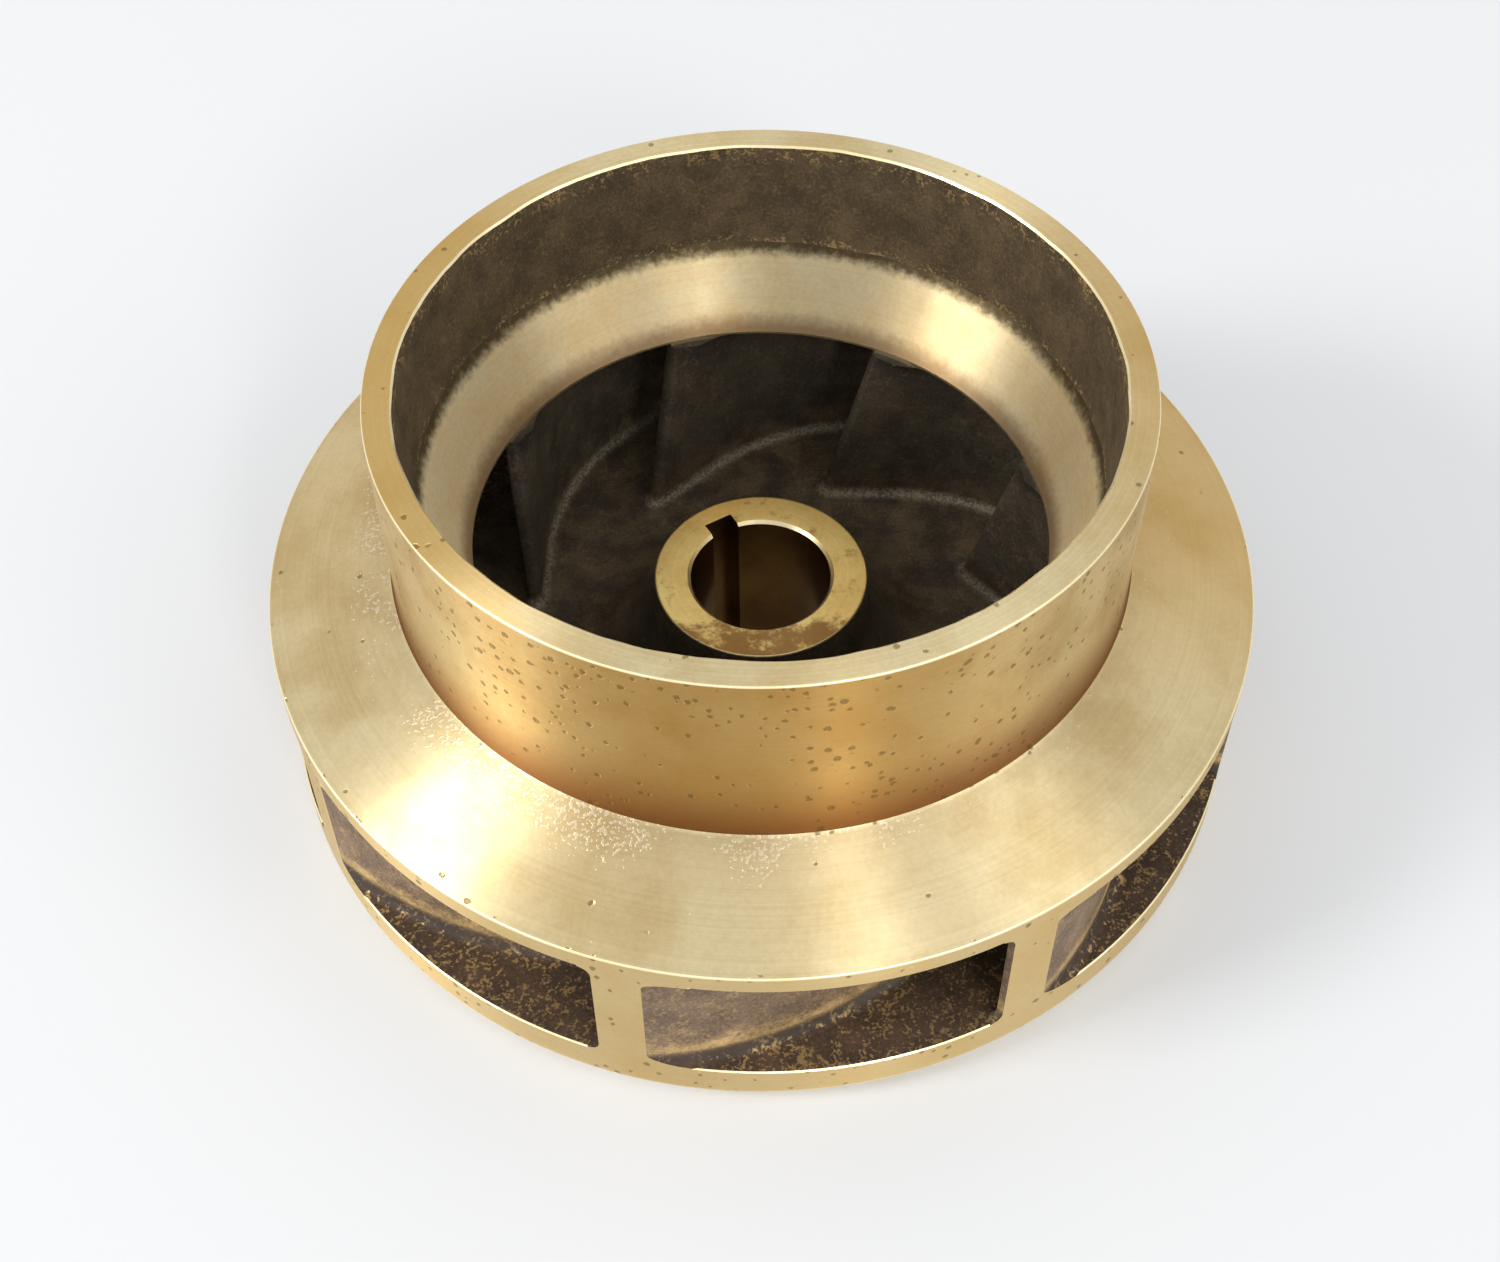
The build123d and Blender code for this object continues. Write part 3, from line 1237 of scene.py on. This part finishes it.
@dataclass(frozen=True)
class CastBronze:
    """The skin that the sand core leaves on cast bronze.

    It is a thin dark oxide over fine sand grain, with metal shining through on the grain's tops.
    It is near black inside the eye and drawn browner and lighter in the outlets, as painted light.

    Attributes:
        name: name of the material.
        inner: skin on the vanes inside the eye.
        painted_floor_light: painted light, a paler skin low down in the eye, on the floor that
            faces up.
        painted_throat_shadow: painted shadow, darker skin next to the throat, under its lip.
        toe: painted highlight along the vanes' roots in the eye.
        root_highlight_from: radius where those roots start, mm.
        wall: skin of the collar's cored wall.
        outer: skin on the vanes in the outlets, drawn lighter than the eye's as painted light.
        bed: skin on the outlets' floor.
        painted_crease_shade: painted shade along the vanes' roots in the outlets.
        metal: bare grain tops, and also the painted highlight in a band above the outlets' floor.
        grain: size of the sand's grain, mm, drawn a little coarser than real so that it shows.
        depth: depth of the grain, mm.
        lump: size of the core's lumps, mm.
        lump_depth: their depth, mm.
        streak: width of the streaks in that painted highlight and in the bare grain tops, mm.
    """

    name: str = "cast_bronze"
    inner: str = "#453C2F"
    painted_floor_light: str = "#6E5C42"
    painted_throat_shadow: str = "#1E1A15"
    toe: str = "#958A74"
    root_highlight_from: float = 34.5
    wall: str = "#544530"
    outer: str = "#7A634C"
    bed: str = "#4A3828"
    painted_crease_shade: str = "#2B2018"
    metal: str = "#D2B074"
    grain: float = 0.5
    depth: float = 0.05
    lump: float = 5.5
    lump_depth: float = 0.5
    streak: float = 2.6

    def make(self) -> bpy.types.Material:
        """Makes the material.

        Returns:
            The material.
        """
        material, shader, add = start_material(self.name)
        place = Place.of(add)
        grain = add(NOISE, place.point, 1 / self.grain, 3.0, 0.65)
        lumps = add(NOISE, place.point, 1 / self.lump, 3.0, 0.55)
        streaks = add(NOISE, place.point, 1 / self.streak, 4.0, 0.6, 1.5)
        # Painted light: towards the outlets the skin turns lighter than in the eye.
        out = add(EASED, add(TIMES_PLUS, lumps, 10.0, place.radius), 60.0, 74.0, 0.0, 1.0)
        up = add(EASED, place.height, WALL_FOOT - 7.1, WALL_FOOT - 1.1, 0.0, 1.0)

        # The outlets: a dark floor, a painted highlight in a band above it, then the vane's side.
        side = add(EASED, place.height, FLOOR + 0.05, FLOOR + 1.9, 0.0, 1.0)
        lit_outlet_skin = add(MIX, side, self.bed, self.outer)
        rise = add(TIMES_PLUS, streaks, 7.0, place.height)
        painted_band_highlight = add(EASED, rise, FLOOR + 5.9, FLOOR + 9.4, 0.6, 0.0)
        painted_band_highlight = add(TIMES, painted_band_highlight, add(EASED, place.height, FLOOR + 1.2, FLOOR + 2.6, 0.0, 1.0))
        lit_outlet_skin = add(MIX, painted_band_highlight, lit_outlet_skin, self.metal)

        # The eye: painted light on the floor low down, a painted shadow next to the throat.
        sunk = add(EASED, place.height, FLOOR + 0.4, FLOOR + 7.4, 0.62, 0.0)
        sunk = add(TIMES, sunk, add(EASED, lumps, 0.35, 0.6, 0.4, 1.0))
        deep = add(MIX, sunk, self.inner, self.painted_floor_light)
        # Painted shadow under the throat's lip.
        throat_shadow_share = add(EASED, place.height, THROAT - 6.6, THROAT - 1.2, 0.0, 0.7)
        deep = add(MIX, throat_shadow_share, deep, self.painted_throat_shadow)
        colour = add(MIX, up, add(MIX, out, deep, lit_outlet_skin), self.wall)
        shade = add(EASED, add(PLUS, grain, lumps), 0.7, 1.35, 0.6, 1.4)
        colour = add(SHADE, 1.0, colour, shade)

        # The vanes' roots: a painted highlight in the eye, painted shade in the outlets.
        root = add(
            TIMES,
            add(EASED, place.height, FLOOR + 0.02, FLOOR + 0.5, 0.0, 1.0),
            add(EASED, place.height, FLOOR + 0.7, FLOOR + 2.3, 1.0, 0.0),
        )
        past_toe = add(EASED, place.radius, self.root_highlight_from, self.root_highlight_from + 2.0, 0.0, 1.0)
        root = add(TIMES, root, past_toe)
        share = add(HIGHER, add(TIMES, out, 0.7), add(EASED, grain, 0.38, 0.62, 0.15, 0.85))
        # Painted highlight along the roots in the eye, painted shade in the outlets' creases.
        colour = add(MIX, add(TIMES, root, share), colour, add(MIX, out, self.toe, self.painted_crease_shade))

        # Metal shows on the grain's tops: on the outlets' floor, at the brink and on the ledge.
        low = add(EASED, place.height, FLOOR + 0.05, FLOOR + 0.6, 1.0, 0.3)
        bare = add(TIMES, add(TIMES, out, low), 0.8)
        climb = add(TIMES_PLUS, grain, 2.5, place.height)
        bare = add(HIGHER, bare, add(EASED, climb, TOP - 2.2, TOP + 0.7, 0.0, 0.8))
        ledge = add(EASED, place.height, WALL_FOOT - 0.1, WALL_FOOT + 2.1, 0.75, 0.0)
        bare = add(HIGHER, add(HIGHER, bare, add(TIMES, ledge, up)), 0.06)
        tops = add(EASED, add(TIMES_PLUS, streaks, 1.3, grain), 1.2, 1.42, 0.0, 1.0)
        tops = add(TIMES, tops, bare)
        relief = add(TIMES_PLUS, lumps, self.lump_depth, add(TIMES, grain, self.depth))
        values = {
            "Base Color": add(MIX, tops, colour, self.metal),
            "Metallic": add(EASED, tops, 0.0, 1.0, 0.25, 0.95),
            "Roughness": add(EASED, tops, 0.0, 1.0, 0.62, 0.38),
            "Normal": add(BUMP, relief, MM, 0.8),
        }
        wire(shader, values)
        return material


def finishes() -> list[TurnedBronze | CastBronze]:
    """Lists the casting's finishes.

    Returns:
        The finishes in the order of Skin.
    """
    return [
        # Tin bronze faced in the lathe and left bare: pale gold with fans of light and few pits,
        # painted reflections in deeper gold at the sides and on the rim's left, and painted shade
        # on the outside faces.
        TurnedBronze(
            "faced_bronze",
            "#EFDDAE",
            "#DAC08A",
            0.4,
            pits=0.7,
            speck="#FFF6DC",
            painted_side_gold="#D2A552",
        ),
        # Tin bronze as it left the sand: dark, matt and grainy.
        CastBronze(),
        # Tin bronze bored with a blunt tool: duller, and drawn paler than the faced bronze as
        # painted light, with skin left at the top.
        TurnedBronze("turned_funnel", "#FFEDC2", "#F8DCA4", 0.6, 0.95, skin="#5B4B30"),
        # Tin bronze bored and oiled: dark amber, because little light gets in.
        TurnedBronze("bored_bronze", "#82602C", "#5A3C1A", 0.3, 0.6),
        # Tin bronze turned smooth and handled: warm gold, with open pits, a painted reflection of
        # the cone at the front and painted shade towards the foot.
        TurnedBronze("collar_bronze", "#D8BE88", "#B99962", 0.42, pits=1.0, painted_foot_shade="#7E4A22"),
        # Tin bronze faced with a fine feed and stained by oil: yellow, with brown blots, and more
        # of them at the front as painted shade.
        TurnedBronze("faced_hub", "#F6D98C", "#DDB466", 0.42, 0.3, stain_and_shade="#7C4824"),
        # Tin bronze edges broken with a file: thin lines of fresh metal, drawn paler as a painted
        # highlight, that catch the light from all sides.
        TurnedBronze("broken_edge", "#FFF0C4", "#F2DCA2", 0.36, 0.2),
    ]


# --- studio ----------------------------------------------------------------------


@dataclass(frozen=True)
class View:
    """Where the camera stands and how it looks.

    Attributes:
        elevation: degrees above the horizon.
        roll: degrees about the line of sight.
        distance: from the aim to the camera, mm.
        aim_height: height of the aim on the axis, mm.
        focal: focal length in pixels of the frame.
        right, above: where the aim lies from the middle of the frame, pixels.
        width: width of the frame, pixels.
        sensor: width of the sensor, mm.
        nearest, farthest: what the camera sees, m.
    """

    elevation: float = 48.247
    roll: float = -0.166
    distance: float = 319.77
    aim_height: float = 35.7
    focal: float = 2043.9
    right: float = 10.87
    above: float = 79.2
    width: float = 1500.0
    sensor: float = 36.0
    nearest: float = 0.01
    farthest: float = 20.0

    def make(self) -> bpy.types.Object:
        """Sets up the camera.

        Returns:
            The camera, set as the scene's.
        """
        tilt = math.radians(self.elevation)
        right = Vector((1, 0, 0))
        back = Vector((0, -math.cos(tilt), math.sin(tilt)))
        axes = Matrix((right, back.cross(right), back))
        pan, nod = math.atan(self.right / self.focal), math.atan(self.above / self.focal)
        roll = math.radians(self.roll)
        turn = (
            Matrix.Rotation(-roll, 3, "Z")
            @ Matrix.Rotation(nod, 3, "X")
            @ Matrix.Rotation(-pan, 3, "Y")
        )
        lens = bpy.data.cameras.new("camera")
        lens.sensor_width = self.sensor
        lens.lens = self.focal / self.width * self.sensor
        lens.clip_start, lens.clip_end = self.nearest, self.farthest
        camera = bpy.data.objects.new("camera", lens)
        bpy.context.scene.collection.objects.link(camera)
        place = (Vector((0, 0, self.aim_height)) + back * self.distance) * MM
        camera.matrix_world = Matrix.Translation(place) @ (turn @ axes).transposed().to_4x4()
        bpy.context.scene.camera = camera
        return camera


@dataclass
class Studio:
    """A pale floor under soft lamps.

    Attributes:
        view: the camera.
        lamp_distance: from the part to each lamp, m.
        floor_colour: colour of the floor.
        floor_roughness: its roughness.
        floor_glow: share of the floor's colour that camera and reflections see unlit.
        floor_gap: how far the floor lies under the part, mm, so that their faces don't meet.
        horizon, zenith: strength of the surround.
        window: how much brighter it is in front.
        sky_colour: its colour.
        floor_size: side of the floor, m.
    """

    view: View = field(default_factory=View)
    lamp_distance: float = 2.2
    floor_colour: str = "#DCDDDE"
    floor_roughness: float = 0.6
    floor_glow: float = 0.2
    floor_gap: float = 0.05
    horizon: float = 0.95
    zenith: float = 0.88
    window: float = 0.42
    sky_colour: str = "#F2F3F5"
    floor_size: float = 8.0

    def make(self) -> None:
        """Builds the camera, the floor, the lamps and the world."""
        self.view.make()
        self._floor()
        self._lamp("left_window", -162, 34, 0.62, 23.0)
        self._lamp("front_window", -69, 32, 0.34, 29.0)
        self._lamp("right_panel", -27, 38, 0.90, 2.8)
        self._world()
        bpy.context.scene.view_settings.view_transform = "Standard"

    def _floor(self) -> None:
        """Adds the floor."""
        deselect_all()
        below = (0, 0, -self.floor_gap * MM)
        bpy.ops.mesh.primitive_plane_add(size=self.floor_size, location=below)
        floor = bpy.context.object
        floor.name = "floor"
        # White laminate, pressed flat: pale, matt and even, so that it shows only the shadow.
        material, shader, add = start_material("pale_floor")
        shader.inputs["Base Color"].default_value = linear(self.floor_colour)
        shader.inputs["Roughness"].default_value = self.floor_roughness
        path = add(LIGHT_PATH).node.outputs
        seen = add(HIGHER, path["Is Camera Ray"], path["Is Glossy Ray"])
        seen = add(HIGHER, seen, path["Is Transmission Ray"])
        glow = add(EMISSION, self.floor_colour, 1.0)
        both = add(MIX_SHADER, add(TIMES, seen, self.floor_glow), shader.outputs["BSDF"], glow)
        wire(material.node_tree.nodes["Material Output"], {"Surface": both})
        floor.data.materials.append(material)

    def _lamp(
        self, name: str, azimuth: float, elevation: float, size: float, radiance: float
    ) -> None:
        """Adds a square lamp that faces the part.

        Args:
            name: name of the lamp.
            azimuth: direction from the part to the lamp, degrees from +X.
            elevation: degrees above the horizon.
            size: its side, m.
            radiance: how bright its face is, where 1 is white.
        """
        turn, climb = math.radians(azimuth), math.radians(elevation)
        direction = Vector(
            (math.cos(turn) * math.cos(climb), math.sin(turn) * math.cos(climb), math.sin(climb))
        )
        light = bpy.data.lights.new(name, "AREA")
        light.shape = "SQUARE"
        light.size = size
        light.energy = radiance * math.pi * size**2
        lamp = bpy.data.objects.new(name, light)
        bpy.context.scene.collection.objects.link(lamp)
        lamp.location = direction * self.lamp_distance
        lamp.rotation_mode = "QUATERNION"
        lamp.rotation_quaternion = direction.to_track_quat("Z", "Y")

    def _world(self) -> None:
        """Sets a pale surround, a little brighter at the horizon and in front than overhead."""
        world = bpy.data.worlds.new("surround")
        bpy.context.scene.world = world
        world.use_nodes = True
        add = partial(add_node, world.node_tree)
        sky = world.node_tree.nodes["Background"]
        _, ahead, up = add(SPLIT, add(DIRECTION)).node.outputs
        climb = add(EASED, up, 0.0, 0.9, self.horizon, self.zenith)
        window = add(EASED, ahead, -0.95, -0.3, self.window, 0.0)
        sky.inputs["Color"].default_value = linear(self.sky_colour)
        wire(sky, {"Strength": add(PLUS, climb, window)})


def main() -> None:
    """Builds the impeller and its studio."""
    logging.basicConfig(level=logging.INFO, format="%(name)s: %(message)s")
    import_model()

    casting = Casting()
    piece = casting.make()
    casting.dress(piece, [finish.make() for finish in finishes()])
    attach(piece, "root")
    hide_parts("impeller")
    log.info("%s: %d faces", piece.name, len(piece.data.polygons))

    Studio().make()


if __name__ == "__main__":
    main()
